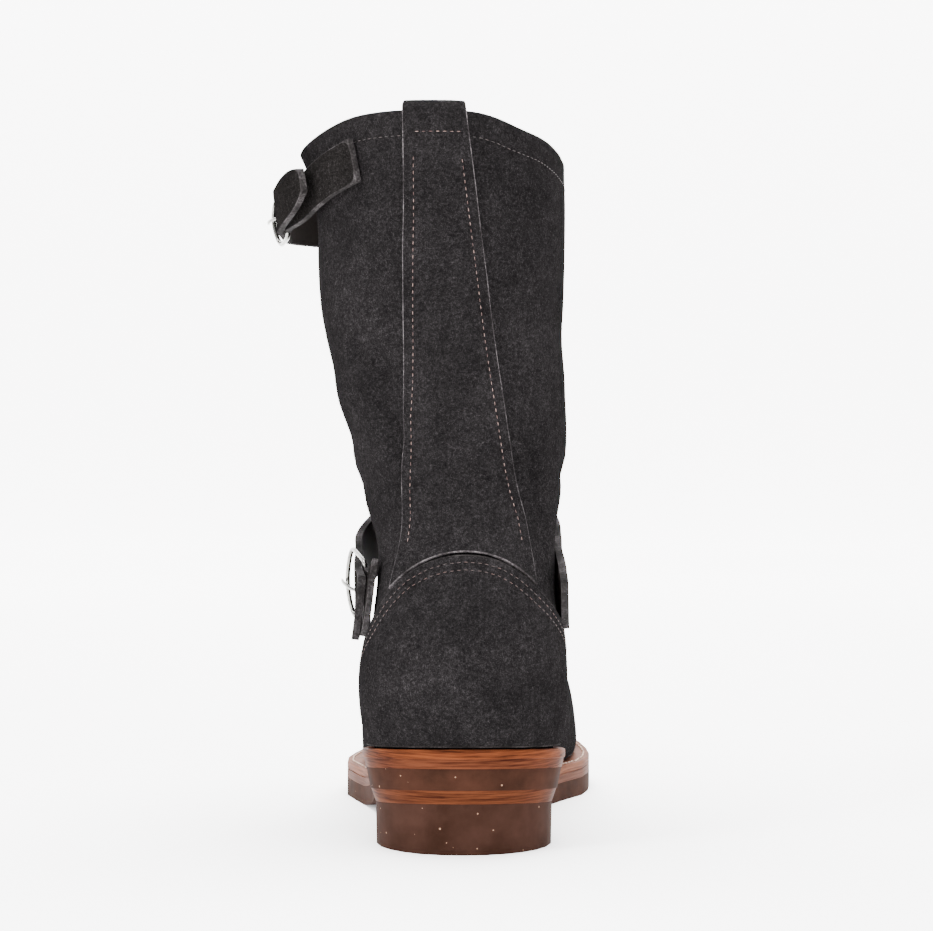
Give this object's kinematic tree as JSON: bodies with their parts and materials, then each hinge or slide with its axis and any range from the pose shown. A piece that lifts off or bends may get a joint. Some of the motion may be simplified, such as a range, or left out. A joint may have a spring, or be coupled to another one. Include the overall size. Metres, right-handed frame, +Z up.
{
  "type": "engineer boot",
  "caption": "Black roughout suede pull-on engineer boot, left foot, with an instep strap, a collar strap and a stacked natural-edge heel and sole",
  "frame": {"origin": "on the floor at the centre of the heel's tread", "axes": "+Y from heel to toe, +X to the inner side of the foot, +Z up"},
  "size_m": [0.1372, 0.3066, 0.2818],
  "materials": {
    "suede": "charcoal black roughout suede with a matt nap",
    "rubber": "brown rubber with pale cork specks",
    "sole_leather": "burnished orange brown sole leather edge",
    "welt_leather": "natural pinkish tan welt leather",
    "insole_leather": "plain vegetable tanned insole leather",
    "nickel": "polished nickel plate"
  },
  "bodies": {
    "root": {"outsole": "rubber", "midsole": "sole_leather", "welt": "welt_leather", "heel_lift": "sole_leather", "heel_block": "rubber", "insole": "insole_leather", "upper": "suede", "vamp": "suede", "counter": "suede", "backstay": "suede", "instep_strap": "suede", "instep_base": "suede", "instep_buckle": "nickel", "instep_prong": "nickel", "collar_strap": "suede", "collar_base": "suede", "collar_buckle": "nickel", "collar_prong": "nickel"}
  },
  "joints": []
}
